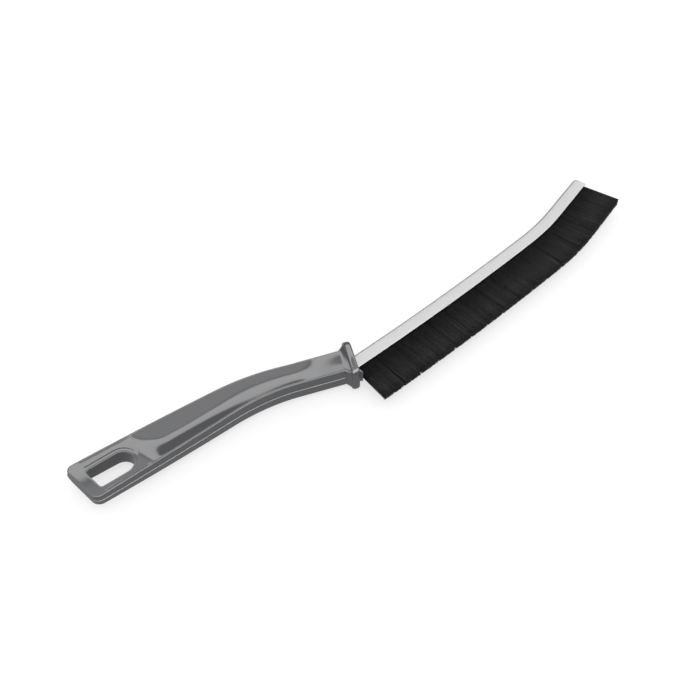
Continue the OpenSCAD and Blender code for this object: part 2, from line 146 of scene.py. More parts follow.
def make_studio():
    """White light from all round, a mirrored studio for glossy rays only, and a soft lamp."""
    world = bpy.data.worlds.new("studio")
    scene.world = world
    world.use_nodes = True
    tree = world.node_tree
    nodes, links = tree.nodes, tree.links
    nodes.clear()
    out = nodes.new("ShaderNodeOutputWorld")
    around = nodes.new("ShaderNodeBackground")
    mirrored = nodes.new("ShaderNodeBackground")
    path = nodes.new("ShaderNodeLightPath")
    mix = nodes.new("ShaderNodeMixShader")
    place = nodes.new("ShaderNodeTexCoord")
    split = nodes.new("ShaderNodeSeparateXYZ")
    ahead = nodes.new("ShaderNodeVectorMath")
    ramp = nodes.new("ShaderNodeValToRGB")
    around.inputs["Color"].default_value = (1.0, 1.0, 1.0, 1.0)
    around.inputs["Strength"].default_value = DAYLIGHT
    mirrored.inputs["Strength"].default_value = BRIGHTEST
    for angle, light in MIRRORED_STUDIO[1:-1]:
        ramp.color_ramp.elements.new(angle / 180)
    for element, (angle, light) in zip(ramp.color_ramp.elements, MIRRORED_STUDIO):
        element.position = angle / 180
        element.color = (*[light / BRIGHTEST] * 3, 1.0)
    azimuth = math.radians(SOFTBOX_AZIMUTH)
    ahead.operation = "DOT_PRODUCT"
    ahead.inputs[1].default_value = (math.cos(azimuth), math.sin(azimuth), 0.0)
    links.new(place.outputs["Generated"], split.inputs["Vector"])
    links.new(place.outputs["Generated"], ahead.inputs[0])
    angle = math_node(tree, "ARCTAN2", split.outputs["Z"], ahead.outputs["Value"])
    links.new(math_node(tree, "DIVIDE", angle, math.pi), ramp.inputs["Fac"])
    links.new(ramp.outputs["Color"], mirrored.inputs["Color"])
    links.new(path.outputs["Is Glossy Ray"], mix.inputs["Fac"])
    links.new(around.outputs["Background"], mix.inputs[1])
    links.new(mirrored.outputs["Background"], mix.inputs[2])
    links.new(mix.outputs["Shader"], out.inputs["Surface"])
    softbox("softbox_overhead", direction=(-120.0, 75.0), distance=1.2, size=(0.8, 0.8),
            power=1.2)


def make_floor():
    """A pale light table: it glows, so that shadows stay faint, and is darker in the gloss."""
    mesh = bpy.data.meshes.new("floor")
    half, tone, mirrored_tone, glow, mirrored_glow = 3.0, 0.35, 0.2, 0.65, 0.3
    mesh.from_pydata([(-half, -half, 0), (half, -half, 0), (half, half, 0), (-half, half, 0)],
                     [], [(0, 1, 2, 3)])
    floor = bpy.data.objects.new("floor", mesh)
    scene.collection.objects.link(floor)
    material = bpy.data.materials.new("floor_paper")
    material.use_nodes = True
    tree = material.node_tree
    shader = tree.nodes["Principled BSDF"]
    mirrored = tree.nodes.new("ShaderNodeLightPath").outputs["Is Glossy Ray"]
    two_tones(tree, shader, mirrored, (tone,) * 3, (mirrored_tone,) * 3)
    shader.inputs["Emission Color"].default_value = (1.0, 1.0, 1.0, 1.0)
    tree.links.new(math_node(tree, "MULTIPLY_ADD", mirrored, mirrored_glow - glow, glow),
                   shader.inputs["Emission Strength"])
    shader.inputs["Roughness"].default_value = 0.9
    shader.inputs["Specular IOR Level"].default_value = 0.1
    mesh.materials.append(material)


# --- shader groups and materials ---

def new_group(name, inputs, outputs):
    """A shader group with float inputs {name: value} and outputs {name: socket type}."""
    group = bpy.data.node_groups.new(name, "ShaderNodeTree")
    for label, value in inputs.items():
        socket = group.interface.new_socket(label, in_out="INPUT", socket_type="NodeSocketFloat")
        socket.default_value = value
    for label, kind in outputs.items():
        group.interface.new_socket(label, in_out="OUTPUT", socket_type=kind)
    nodes = group.nodes
    return group, nodes.new("NodeGroupInput"), nodes.new("NodeGroupOutput")


def math_node(tree, operation, first, second=None, third=None):
    """A Math node fed by sockets or numbers; returns its output."""
    node = tree.nodes.new("ShaderNodeMath")
    node.operation = operation
    for slot, value in zip(node.inputs, (first, second, third)):
        if value is None:
            continue
        if isinstance(value, (int, float)):
            slot.default_value = value
        else:
            tree.links.new(value, slot)
    return node.outputs["Value"]


def noise(tree, vector, scale, detail, roughness, distortion=0.0):
    """A Noise Texture over a vector; returns its factor."""
    node = tree.nodes.new("ShaderNodeTexNoise")
    node.inputs["Scale"].default_value = scale
    node.inputs["Detail"].default_value = detail
    node.inputs["Roughness"].default_value = roughness
    node.inputs["Distortion"].default_value = distortion
    tree.links.new(vector, node.inputs["Vector"])
    return node.outputs["Fac"]


def stretched(tree, vector, scale):
    """The vector scaled unevenly, for marks that run one way."""
    node = tree.nodes.new("ShaderNodeMapping")
    node.inputs["Scale"].default_value = scale
    tree.links.new(vector, node.inputs["Vector"])
    return node.outputs["Vector"]


def surface_marks_group():
    """Soft smudges and fine rubbed spots, as on a handled surface."""
    group, given, out = new_group(
        "surface_marks", {"Smudge": 0.5, "Rub": 0.5},
        {"Roughness": "NodeSocketFloat", "Height": "NodeSocketFloat", "Tone": "NodeSocketFloat"})
    place = group.nodes.new("ShaderNodeTexCoord").outputs["Object"]
    cloud = noise(group, place, 55.0, 4.0, 0.55, 0.4)
    fine = noise(group, place, 1400.0, 3.0, 0.6)
    smudge = math_node(group, "MULTIPLY", math_node(group, "SUBTRACT", cloud, 0.5),
                       given.outputs["Smudge"])
    rub = math_node(group, "MULTIPLY", math_node(group, "SUBTRACT", fine, 0.5),
                    given.outputs["Rub"])
    links = group.links
    links.new(math_node(group, "ADD", smudge, rub), out.inputs["Roughness"])
    links.new(fine, out.inputs["Height"])
    links.new(cloud, out.inputs["Tone"])
    return group


def new_material(name):
    """A material with its node tree and its main shader."""
    material = bpy.data.materials.new(name)
    material.use_nodes = True
    tree = material.node_tree
    return material, tree, tree.nodes["Principled BSDF"]


def place_group(tree, group, **values):
    """The group as a node, with numbers for its inputs."""
    node = tree.nodes.new("ShaderNodeGroup")
    node.node_tree = group
    for label, value in values.items():
        node.inputs[label].default_value = value
    return node


def bump(tree, shader, height, strength, distance):
    node = tree.nodes.new("ShaderNodeBump")
    node.inputs["Strength"].default_value = strength
    node.inputs["Distance"].default_value = distance
    tree.links.new(height, node.inputs["Height"])
    tree.links.new(node.outputs["Normal"], shader.inputs["Normal"])


def two_tones(tree, shader, mask, low, high):
    """Base colour between two greys or colours, by a mask."""
    node = tree.nodes.new("ShaderNodeMix")
    node.data_type = "RGBA"
    tree.links.new(mask, node.inputs["Factor"])
    node.inputs["A"].default_value = (*low, 1.0)
    node.inputs["B"].default_value = (*high, 1.0)
    tree.links.new(node.outputs["Result"], shader.inputs["Base Color"])


def handle_material(marks):
    """Glossy moulded plastic with faint smudges and a very fine grain."""
    material, tree, shader = new_material("glossy_grey_plastic")
    group = place_group(tree, marks, Smudge=0.07, Rub=0.03)
    shader.inputs["Specular IOR Level"].default_value = 0.7
    two_tones(tree, shader, group.outputs["Tone"], (0.062, 0.063, 0.067), (0.070, 0.071, 0.075))
    tree.links.new(math_node(tree, "ADD", group.outputs["Roughness"], 0.09),
                   shader.inputs["Roughness"])
    bump(tree, shader, group.outputs["Height"], 0.04, 0.00004)
    return material


def channel_material(marks):
    """Cold-rolled strip: fine rolling lines along its length, from the piece's own UV map."""
    material, tree, shader = new_material("rolled_steel")
    shader.inputs["Metallic"].default_value = 1.0
    group = place_group(tree, marks, Smudge=0.10, Rub=0.05)
    run = tree.nodes.new("ShaderNodeUVMap")
    run.uv_map = "strip"
    lines = noise(tree, stretched(tree, run.outputs["UV"], (0.02, 6.0, 1.0)), 1.0, 4.0, 0.7)
    two_tones(tree, shader, lines, (0.31, 0.31, 0.313), (0.37, 0.37, 0.373))
    tree.links.new(math_node(tree, "ADD", group.outputs["Roughness"], 0.42),
                   shader.inputs["Roughness"])
    bump(tree, shader, lines, 0.12, 0.00006)
    return material


def wire_material(marks):
    """Drawn steel wire, duller than the strip."""
    material, tree, shader = new_material("drawn_wire")
    shader.inputs["Metallic"].default_value = 1.0
    group = place_group(tree, marks, Smudge=0.1, Rub=0.1)
    two_tones(tree, shader, group.outputs["Tone"], (0.45, 0.45, 0.46), (0.55, 0.55, 0.56))
    tree.links.new(math_node(tree, "ADD", group.outputs["Roughness"], 0.35),
                   shader.inputs["Roughness"])
    return material


def filament_material():
    """Black nylon: each strand has its own tone, which runs along the strand."""
    material, tree, shader = new_material("black_nylon")
    place = tree.nodes.new("ShaderNodeTexCoord").outputs["Object"]
    strand = noise(tree, stretched(tree, place, (2200.0, 60.0, 900.0)), 1.0, 2.0, 0.6)
    two_tones(tree, shader, strand, (0.004, 0.004, 0.0045), (0.016, 0.016, 0.017))
    shader.inputs["Specular IOR Level"].default_value = 0.12
    tree.links.new(math_node(tree, "MULTIPLY_ADD", strand, 0.2, 0.38), shader.inputs["Roughness"])
    return material


# --- mesh helpers ---

def new_piece(name, points, faces, material, slot, smooth_angle=40.0):
    """A piece of the object from points in millimetres."""
    mesh = bpy.data.meshes.new(name)
    mesh.from_pydata([tuple(MM * c for c in p) for p in points], [], faces)
    mesh.update()
    piece = bpy.data.objects.new(name, mesh)
    scene.collection.objects.link(piece)
    finish_piece(piece, material, smooth_angle)
    return piece


def finish_piece(piece, material, smooth_angle):
    """Gives a piece its one material, smooth faces and sharp edges."""
    mesh = piece.data
    mesh.materials.clear()
    mesh.materials.append(material)
    mesh.polygons.foreach_set("use_smooth", [True] * len(mesh.polygons))
    mesh.set_sharp_from_angle(angle=math.radians(smooth_angle))


def skin(rings):
    """Faces of a closed skin over rings of points, with strips that close both ends."""
    count, last = len(rings[0]), (len(rings) - 1) * len(rings[0])
    faces = []
    for k in range(0, last, count):
        for i in range(count):
            a, b = k + i, k + (i + 1) % count
            faces.append((a, a + count, b + count, b))
    for i in range(count // 2 - 1):
        a, b, c, d = i, i + 1, count - 2 - i, count - 1 - i
        faces.append((a, b, c, d))
        faces.append((last + d, last + c, last + b, last + a))
    return [p for ring in rings for p in ring], faces


def outward(piece):
    """Turns every face of a closed piece outwards."""
    shape = bmesh.new()
    shape.from_mesh(piece.data)
    bmesh.ops.remove_doubles(shape, verts=shape.verts, dist=1e-7)
    bmesh.ops.recalc_face_normals(shape, faces=shape.faces)
    shape.to_mesh(piece.data)
    shape.free()


# --- handle ---

def clamp01(x):
    return np.clip(x, 0.0, 1.0)


def smooth(x):
    """A soft step from 0 to 1."""
    k = clamp01(x)
    return k * k * (3 - 2 * k)


BEND_TURN = NECK_ANGLE - GRIP_ANGLE
BEND_CUT = BEND_R * math.tan(math.radians(BEND_TURN / 2))
BEND_FROM = NECK_LEN - BEND_CUT
BEND_TO = BEND_FROM + BEND_R * math.radians(BEND_TURN)
HANDLE_LEN = BEND_TO + GRIP_LEN - BEND_CUT


def handle_dir(s):
    """Direction of the handle's centre line, in degrees, at the distance s behind the guard."""
    return 180 - NECK_ANGLE + BEND_TURN * clamp01((s - BEND_FROM) / (BEND_TO - BEND_FROM))


def handle_at(s):
    """Place in plan of the handle's centre line."""
    a, a0 = np.radians(handle_dir(s)), math.radians(180 - NECK_ANGLE)
    first, past = np.minimum(s, BEND_FROM), np.maximum(0.0, s - BEND_TO)
    return np.stack([
        first * math.cos(a0) + BEND_R * (np.sin(a) - math.sin(a0)) + past * np.cos(a),
        first * math.sin(a0) + BEND_R * (math.cos(a0) - np.cos(a)) + past * np.sin(a)], -1)


HANDLE_END = handle_at(np.array(HANDLE_LEN))


def spread(x):
    """Share of the grip's extra width, over the share of the way to the end."""
    g = (1 + SPREAD_SOFT) * x * x / (x + SPREAD_SOFT)
    return g + SPREAD_FULL * np.sin(np.pi * g)


def handle_w(s):
    """Width of the handle across its centre line."""
    share = clamp01((s - NECK_EVEN) / (HANDLE_LEN - NECK_EVEN))
    return NECK_W + (GRIP_W - NECK_W) * spread(share)


def handle_half_t(s):
    """Half of the handle's thickness, without the face's scoop and crown."""
    return (NECK_T + (END_T - NECK_T) * (s / HANDLE_LEN) ** THICK_FULL) / 2


def section_turn(s):
    """Slant of the cross line at s, in degrees, from the guard's to the end face's."""
    return (END_SLANT * smooth((s - BEND_TO) / (HANDLE_LEN - BEND_TO))
            - GUARD_LEAN * (1 - smooth(s / BEND_FROM)))


def plan_point(s, t):
    """The point in plan at s along the handle and t across it."""
    turn = section_turn(s)
    a = np.radians(handle_dir(s) - 90 + turn)
    reach = (t / np.cos(np.radians(turn)))[..., None]
    return handle_at(s) + reach * np.stack([np.cos(a), np.sin(a)], -1)


def slot_distance(p):
    """Distance from the slot's outline in plan, negative in the slot."""
    p = np.asarray(p, float)
    flat = p.reshape(-1, 1, 2)
    a, run = SLOT_OUTLINE, np.roll(SLOT_OUTLINE, -1, 0) - SLOT_OUTLINE
    share = clamp01(((flat - a) * run).sum(-1) / (run * run).sum(-1))
    near = np.linalg.norm(flat - a - share[..., None] * run, axis=-1).min(1)
    x, y = flat[..., 0], flat[..., 1]
    crosses = (a[:, 1] > y) != (a[:, 1] + run[:, 1] > y)
    rise = np.where(run[:, 1] == 0, 1.0, run[:, 1])
    left = x < a[:, 0] + (y - a[:, 1]) * run[:, 0] / rise
    inside = (crosses & left).sum(1) % 2 == 1
    return np.where(inside, -near, near).reshape(p.shape[:-1])


def edge_distance(s, t):
    """Distance inwards from the handle's outline, up to the radius of its end's corners."""
    past = np.maximum(0.0, s - HANDLE_LEN + CORNER_R)
    q = np.stack([past, np.maximum(0.0, np.abs(t) - handle_w(s) / 2 + CORNER_R)], -1)
    return CORNER_R - np.linalg.norm(q, axis=-1)


def scoop_at(s):
    """Depth of the scoop in its middle: shallow in the neck, deep in the grip."""
    depth = (NECK_SCOOP * smooth((s - SCOOP_START) / SCOOP_EASE)
             + GRIP_SCOOP * smooth((s - GRIP_SCOOP_START) / GRIP_SCOOP_RUN))
    return depth * (1 - smooth((s - SCOOP_OUT_START) / SCOOP_OUT_RUN))


def bowl(x):
    """Share of the scoop's depth across the face: a parabola with a soft edge."""
    k = np.maximum(0.0, 1 - x * x)
    return (1 + SCOOP_SOFT) * k * k / (k + SCOOP_SOFT)


def quarter_round(d, r):
    """Fall of a rounded edge of radius r at the distance d from its outside."""
    low = np.maximum(0.0, r - d)
    return r - np.sqrt(np.maximum(0.0, r * r - low * low))


# The groove runs beside the slot, between these distances from the guard
GROOVE_LEAD = 3 * COLLAR_W
GROOVE_TO = HANDLE_LEN - SLOT_WALL
GROOVE_FROM = GROOVE_TO - SLOT_LEN - GROOVE_LEAD


def face_height(s, t):
    """Height of the handle's face over its middle plane."""
    edge = edge_distance(s, t)
    slot = slot_distance(plan_point(s, t))
    groove = (GROOVE_DEPTH * smooth((edge - RIM_W) / GROOVE_SIDE)
              * smooth((s - GROOVE_FROM) / GROOVE_LEAD) * smooth((GROOVE_TO - s) / COLLAR_W))
    half_w = handle_w(s) / 2
    crown = CROWN_H * smooth((s - CROWN_START) / CROWN_RUN) * (1 - (t / half_w) ** 2)
    scoop = scoop_at(s) * bowl(t / (half_w - RIM_W))
    collar = 1 - smooth((slot - COLLAR_W) / GROOVE_SIDE)
    rise = (ROOT_RISE * clamp01(1 - s / ROOT_RUN) ** ROOT_FALL
            * smooth((t - ROOT_SIDE) / ROOT_SIDE_RUN))
    return (handle_half_t(s) + crown + rise - quarter_round(edge - EDGE_BACK, EDGE_R)
            - (scoop + groove) * (1 - collar) - quarter_round(slot, SLOT_EDGE_R))


def plan_to_strip(p):
    """The s and t of points in plan, in the grip."""
    s = HANDLE_END[0] - p[..., 0] + HANDLE_LEN
    for _ in range(40):
        turn = section_turn(s)
        a = np.radians(handle_dir(s) - 90 + turn)
        away = p - handle_at(s)
        side = away[..., 1] * np.cos(a) - away[..., 0] * np.sin(a)
        s = s + side / np.cos(np.radians(turn))
    reach = away[..., 0] * np.cos(a) + away[..., 1] * np.sin(a)
    return s, reach * np.cos(np.radians(turn))


def slot_ring(d, count=22):
    """The slot's outline in plan, offset outwards by d."""
    half = SLOT_W / 2
    arm, slant = half - SLOT_CORNER_R, math.tan(math.radians(END_SLANT))
    ring = []
    front = HANDLE_END + np.array([SLOT_WALL + SLOT_LEN - half, -SLOT_DROP])
    for i in range(count + 1):
        a = math.radians(180 * i / count - 90)
        ring.append(front + (half + d) * np.array([math.cos(a), math.sin(a)]))
    back = HANDLE_END + np.array([SLOT_WALL + SLOT_CORNER_R, -SLOT_DROP])
    ring += straight(ring[-1], back + [-arm * slant, arm] + np.array([0, SLOT_CORNER_R + d]))
    for side, start in ((1, 90), (-1, 180)):
        centre = back + np.array([-side * arm * slant, side * arm])
        for i in range(9):
            a = math.radians(start + 90 * i / 8)
            ring.append(centre + (SLOT_CORNER_R + d) * np.array([math.cos(a), math.sin(a)]))
        if side == 1:
            low = back + [arm * slant, -arm] + np.array([-(SLOT_CORNER_R + d), 0])
            ring += straight(ring[-1], low)
    ring += straight(ring[-1], ring[0])
    return np.array(ring)


def straight(a, b, step=0.8):
    """Points between a and b, without either."""
    count = max(1, int(np.linalg.norm(np.array(b) - np.array(a)) / step))
    return [np.array(a) + (np.array(b) - np.array(a)) * i / count for i in range(1, count)]


SLOT_OUTLINE = slot_ring(0.0)


def outline_ring(d, step):
    """The handle's outline in s and t, inset by d: lower side, end, upper side."""
    turn_s, r = HANDLE_LEN - CORNER_R, CORNER_R - d
    run = np.linspace(0, turn_s, int(turn_s / step) + 1)
    lower = [(s, -(handle_w(np.array(s)) / 2 - d)) for s in run]
    corner = []
    for i in range(1, 9):
        a = math.radians(90 * i / 8)
        s = turn_s + r * math.sin(a)
        corner.append((s, -(handle_w(np.array(s)) / 2 - CORNER_R + r * math.cos(a))))
    width = -corner[-1][1]
    count = int(2 * width / step)
    end = [(turn_s + r, -width + 2 * width * i / count) for i in range(1, count)]
    mirrored = [(s, -t) for s, t in (lower + corner)[::-1]]
    return np.array(lower + corner + end + mirrored)


def handle_body():
    """The handle without its guard, from a flat net that is lifted to both faces."""
    step, columns, end_room, slot_room = 0.8, 18, 3.1, 0.3
    round_off = [EDGE_R * d for d in (0, 0.04, 0.13, 0.3, 0.5, 0.75, 1)]
    edge_steps = ([EDGE_BACK + d for d in round_off]
                  + [RIM_W + d for d in (0, 0.15, 0.3, 0.45, 0.6, 0.95, 1.4)])
    slot_steps = ([SLOT_EDGE_R * d for d in (0, 0.12, 0.3, 0.6, 1)]
                  + [COLLAR_W + d for d in (-0.75, -0.35, 0, 0.15, 0.3, 0.45, 0.6)])
    points, lines = [], []

    def add_ring(ring, closed):
        base = len(points)
        points.extend(map(tuple, ring))
        lines.extend((base + i, base + i + 1) for i in range(len(ring) - 1))
        if closed:
            lines.append((base + len(ring) - 1, base))

    for d in edge_steps:
        add_ring(outline_ring(d, step), closed=d == edge_steps[0])
    for d in slot_steps:
        add_ring(np.stack(plan_to_strip(slot_ring(d)), -1), closed=True)
    rows = int((HANDLE_LEN - end_room) / step)
    for i in range(rows + 1):
        s = i * (HANDLE_LEN - end_room) / rows
        inner = float(handle_w(np.array(s))) / 2 - edge_steps[-1]
        for j in range(1, columns):
            t = inner * (2 * j / columns - 1)
            if slot_distance(plan_point(np.array(s), np.array(t))) > slot_steps[-1] + slot_room:
                points.append((s, t))
    net = delaunay_2d_cdt([Vector(p) for p in points], lines, [], 0, 1e-5)
    flat = np.array([tuple(v) for v in net[0]])
    s, t = flat[:, 0], flat[:, 1]
    plan, height = plan_point(s, t), face_height(s, t)

    # The net's faces between the outline and the slot, on both sides, then the walls
    kept = []
    for face in net[2]:
        middle = flat[list(face)].mean(0)
        ms, mt = np.array(middle[0]), np.array(middle[1])
        if edge_distance(ms, mt) > EDGE_BACK and slot_distance(plan_point(ms, mt)) > 0:
            kept.append(tuple(face))
    count = len(flat)
    points3 = [(*p, h + MID_Z) for p, h in zip(plan, height)]
    points3 += [(*p, MID_Z - h) for p, h in zip(plan, height)]
    edges = {}
    for face in kept:
        for a, b in zip(face, face[1:] + face[:1]):
            edges[(a, b)] = True
    border = [(a, b) for a, b in edges if (b, a) not in edges]
    chains = {}
    for i in sorted({i for edge in border for i in edge}):
        chain = [i]
        for out, z in bead_profile():
            place = plan_point(*[np.array(c) for c in moved_out(s[i], t[i], out)])
            chain.append(len(points3))
            points3.append((*place, z + MID_Z))
        chains[i] = chain + [i + count]
    faces = kept + [tuple(i + count for i in reversed(f)) for f in kept]
    for a, b in border:
        for k in range(len(chains[a]) - 1):
            faces.append((chains[b][k], chains[a][k], chains[a][k + 1], chains[b][k + 1]))
    return points3, faces


def bead_profile(count=4):
    """The side wall from top to bottom: distance outwards and height over the middle plane."""
    upper = [(BEAD_OUT * 0.8, BEAD_R + 0.03)]
    for i in range(count):
        a = math.radians(85 * (1 - i / count))
        upper.append((BEAD_OUT + BEAD_R * math.cos(a), BEAD_R * math.sin(a)))
    return upper + [(BEAD_OUT + BEAD_R, 0.0)] + [(out, -z) for out, z in reversed(upper)]


def moved_out(s, t, out):
    """A place on the face's outline, moved outwards. Other places stay."""
    if edge_distance(np.array(s), np.array(t)) > EDGE_BACK + 0.01:
        return s, t
    along = max(0.0, s - HANDLE_LEN + CORNER_R)
    side = max(0.0, abs(t) - float(handle_w(np.array(s))) / 2 + CORNER_R)
    away = math.hypot(along, side)
    return s + out * along / away, t + math.copysign(out * side / away, t)


def on_guard(x, y, z):
    """A point of the guard's frame: x along its axis, y across, z up."""
    a = math.radians(-NECK_ANGLE - GUARD_LEAN)
    return (x * math.cos(a) - y * math.sin(a), x * math.sin(a) + y * math.cos(a), z + MID_Z)


def on_channel(x, y, z):
    """A point of the frame in which the channel leaves the guard."""
    a = math.radians(HEAD_ANGLE)
    return (x * math.cos(a) - y * math.sin(a),
            x * math.sin(a) + y * math.cos(a) - HEAD_DROP, z + MID_Z)


def round_rect(w, h, r, count=8):
    """Points round a rectangle with round corners."""
    ring = []
    for k, (sx, sy) in enumerate(((1, 1), (-1, 1), (-1, -1), (1, -1))):
        for i in range(count + 1):
            a = math.radians(90 * k + 90 * i / count)
            ring.append((sx * (w / 2 - r) + r * math.cos(a), sy * (h / 2 - r) + r * math.sin(a)))
    return ring


def guard_rings(count=16):
    """The guard: a flare out of the neck, and a plate whose rim is a pillow."""
    half, rings = GUARD_LEN / 2, []

    def ring(x, w, h, r):
        rings.append([on_guard(x, y, z) for y, z in round_rect(w, h, r)])

    end = (GUARD_W - 2 * FLARE_UNDER, GUARD_T - 2 * FLARE_UNDER, GUARD_R - FLARE_UNDER)
    for share in (0.0, 0.2, 0.4, 0.6, 0.8, 1.0):
        grown = share ** FLARE_CURVE
        ring(-half - FLARE_LEN * (1 - share), NECK_W + (end[0] - NECK_W) * grown,
             NECK_T + (end[1] - NECK_T) * grown, FLARE_R + (end[2] - FLARE_R) * grown)
    for i in range(count + 1):
        a = math.pi * (1 - i / count)
        reach = abs(math.cos(a)) ** (2 / PILLOW_POWER)
        inset = PILLOW_DEPTH * (1 - abs(math.sin(a)) ** (2 / PILLOW_POWER))
        ring(math.copysign(half * reach, math.cos(a)) + (PILLOW_STEP if i == 0 else 0),
             GUARD_W - 2 * inset, GUARD_T - 2 * inset, GUARD_R - inset)
    return rings


def loft(rings):
    """Closed faces over rings, each end closed by one flat face."""
    count, last = len(rings[0]), (len(rings) - 1) * len(rings[0])
    faces = []
    for k in range(0, last, count):
        for i in range(count):
            a, b = k + i, k + (i + 1) % count
            faces.append((a, b, b + count, a + count))
    faces.append(tuple(range(count - 1, -1, -1)))
    faces.append(tuple(range(last, last + count)))
    return [p for ring in rings for p in ring], faces


def scratch_object(name, points, faces):
    """An object in millimetres that only helps to cut or join."""
    mesh = bpy.data.meshes.new(name)
    mesh.from_pydata([tuple(MM * c for c in p) for p in points], [], faces)
    thing = bpy.data.objects.new(name, mesh)
    scene.collection.objects.link(thing)
    outward(thing)
    return thing


def box_between(low, high, place):
    """A block between two corners in the frame of place, as points and faces."""
    (x0, y0, z0), (x1, y1, z1) = low, high
    corners = [place(x, y, z) for x in (x0, x1) for y in (y0, y1) for z in (z0, z1)]
    faces = [(0, 1, 3, 2), (4, 6, 7, 5), (0, 4, 5, 1), (2, 3, 7, 6), (0, 2, 6, 4), (1, 5, 7, 3)]
    return corners, faces


def nose_object():
    """The wedge under the channel, with soft edges."""
    half = NOSE_T / 2 + NOSE_DRAFT
    root_low, front_low = -GUARD_W / 2 + GUARD_R, LIP_N - NOSE_REACH
    front_high = LIP_N - NOSE_DRAFT / 2
    root = [on_guard(0.0, y, z) for y, z in
            ((root_low, -half), (LIP_N, -half), (LIP_N, half), (root_low, half))]
    front = [on_channel(BED_START - NOSE_GAP, y, z) for y, z in
             ((front_low, -NOSE_T / 2), (front_high, -NOSE_T / 2),
              (front_high, NOSE_T / 2), (front_low, NOSE_T / 2))]
    thing = scratch_object("nose", *loft([root, front]))
    soft = thing.modifiers.new("soft", "BEVEL")
    soft.width = NOSE_EDGE_R * MM
    soft.segments = 3
    return applied(thing)


def applied(thing):
    """The object with its modifiers made real."""
    graph = bpy.context.evaluated_depsgraph_get()
    mesh = bpy.data.meshes.new_from_object(thing.evaluated_get(graph))
    thing.modifiers.clear()
    thing.data = mesh
    return thing


def combine(thing, other, operation):
    """Joins or cuts thing with other, which is then removed."""
    cut = thing.modifiers.new("cut", "BOOLEAN")
    cut.operation = operation
    cut.solver = "EXACT"
    cut.object = other
    applied(thing)
    bpy.data.objects.remove(other)


def make_handle(material):
    """The one moulding: body, guard and nose joined, with room for the tang and the channel."""
    handle = scratch_object("moulded_handle", *handle_body())
    combine(handle, scratch_object("guard", *loft(guard_rings())), "UNION")
    combine(handle, nose_object(), "UNION")
    g, far = SOCKET_GAP, GUARD_LEN + GUARD_W / 2
    side = CHANNEL_T / 2 + g
    for low, high in (
            ((-TANG_LEN - g, BACK_N - TANG_H - g, -side), (0, BACK_N + g, side)),
            ((-g, LIP_N - g, -side), (far, BACK_N + g, side))):
        combine(handle, scratch_object("room", *box_between(low, high, on_channel)), "DIFFERENCE")
    finish_piece(handle, material, 38.0)
    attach(handle, "root")
    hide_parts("handle")


# --- channel, fold and filaments ---

HOOK_LEN = HOOK_R * math.radians(HOOK_TURN)
HOOK_END = BOW_LEN + HOOK_LEN
HEAD_LEN = HOOK_END + TIP_LEN
CAVITY_N, CAVITY_T = BACK_N - SHEET_T, CHANNEL_T - 2 * SHEET_T
MOUTH_T = CAVITY_T - 2 * LIP_IN
WIRE_N = CAVITY_N - WRAP_T - WIRE_D / 2
BED_END = HEAD_LEN - TIP_R


def arc_pose(p, r, run):
    """The pose after a run on an arc of radius r, from the pose p: x, y and direction."""
    a = p[2] + run / r
    return (p[0] + r * (math.sin(a) - math.sin(p[2])),
            p[1] + r * (math.cos(p[2]) - math.cos(a)), a)


def line_pose(p, run):
    """The pose after a straight run."""
    return (p[0] + run * math.cos(p[2]), p[1] + run * math.sin(p[2]), p[2])


START_POSE = (0.0, -HEAD_DROP, math.radians(HEAD_ANGLE))
HOOK_POSE = arc_pose(START_POSE, BOW_R, BOW_LEN)
TIP_POSE = arc_pose(HOOK_POSE, HOOK_R, HOOK_LEN)


def pose(s):
    """Place and direction of the channel's centre line at the distance s from the guard."""
    if s < 0:
        return line_pose(START_POSE, s)
    if s < BOW_LEN:
        return arc_pose(START_POSE, BOW_R, s)
    if s < HOOK_END:
        return arc_pose(HOOK_POSE, HOOK_R, s - BOW_LEN)
    return line_pose(TIP_POSE, s - HOOK_END)


def set_up(outline, s):
    """A cross section, given as pairs of height and z, at the distance s."""
    x, y, a = pose(s)
    return [(x - n * math.sin(a), y + n * math.cos(a), z + MID_Z) for n, z in outline]


def fold_arc(back, r, count=8):
    """The two round corners of the fold, as pairs of height and z."""
    inset = CHANNEL_T / 2 - FOLD_R
    arc = []
    for side, start in ((1, 0), (-1, 90)):
        for i in range(count + 1):
            a = math.radians(start + 90 * i / count)
            arc.append((back - FOLD_R + r * math.sin(a), side * inset + r * math.cos(a)))
    return arc


def strip_section(back, low, lips):
    """The strip's section: outside from lip to lip, then back along the inside."""
    side, inner, crimp = CHANNEL_T / 2, CAVITY_T / 2, LIP_IN if lips else 0.0
    under = MOUTH_T / 2 if lips else inner + LIP_IN
    edge = (low + LIP_H, MOUTH_T / 2) if lips else (low + LIP_IN, inner)
    bevel, step, lip_top = 0.08, 0.02, low + LIP_H * 1.25
    half_out = [(low, under), (low, side - crimp - bevel), (low + bevel, side - crimp),
                (lip_top, side)]
    half_in = [edge, (low + LIP_H, inner - 0.5 * crimp), (low + LIP_H + step, inner),
               (lip_top + step, inner)]
    outside = half_out + fold_arc(back, FOLD_R) + [(n, -z) for n, z in reversed(half_out)]
    inside = half_in + fold_arc(back, FOLD_R - SHEET_T) + [(n, -z) for n, z in reversed(half_in)]
    return outside + inside[::-1]


def head_stations(start, end, step=2.0):
    """Even distances along the channel, no further apart than the step."""
    count = int(math.ceil((end - start) / step))
    return [start + (end - start) * i / count for i in range(count + 1)]


